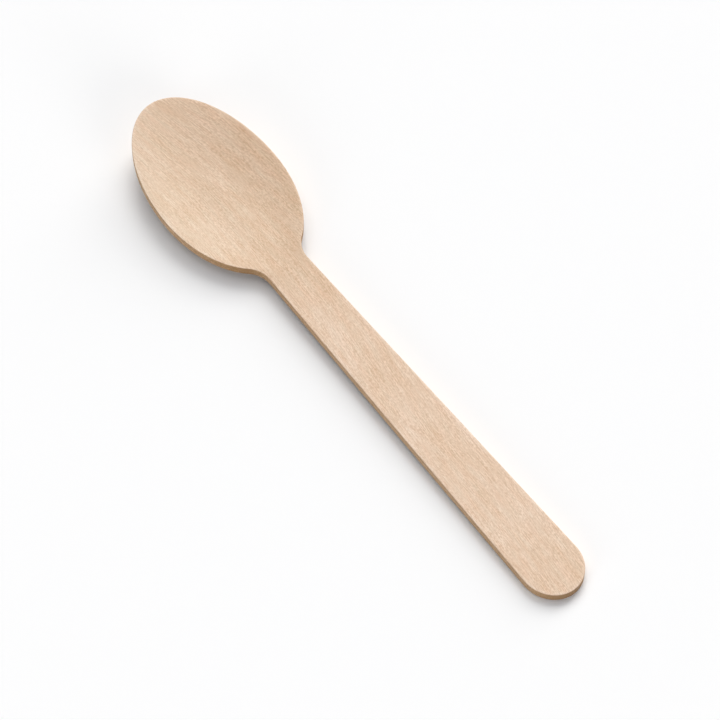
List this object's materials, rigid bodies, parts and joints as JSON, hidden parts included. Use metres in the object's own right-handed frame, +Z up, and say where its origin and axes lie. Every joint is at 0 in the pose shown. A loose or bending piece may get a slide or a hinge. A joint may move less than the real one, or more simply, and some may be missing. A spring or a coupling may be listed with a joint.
{
  "type": "wooden spoon",
  "caption": "Disposable spoon pressed from flat veneer, with a shallow oval bowl and a straight flat handle that widens to a rounded end.",
  "frame": {"origin": "on the table, under the middle of the spoon's bounding box", "axes": "+X runs from the bowl to the handle's rounded end, +Y across the spoon, +Z up out of the bowl's hollow, with the spoon lying as it comes to rest"},
  "size_m": [0.16, 0.032, 0.0092],
  "materials": {
    "birch_veneer": "matt, sanded, unvarnished pale veneer with fine lengthwise grain"
  },
  "bodies": {
    "root": {"spoon": "birch_veneer"}
  },
  "joints": []
}
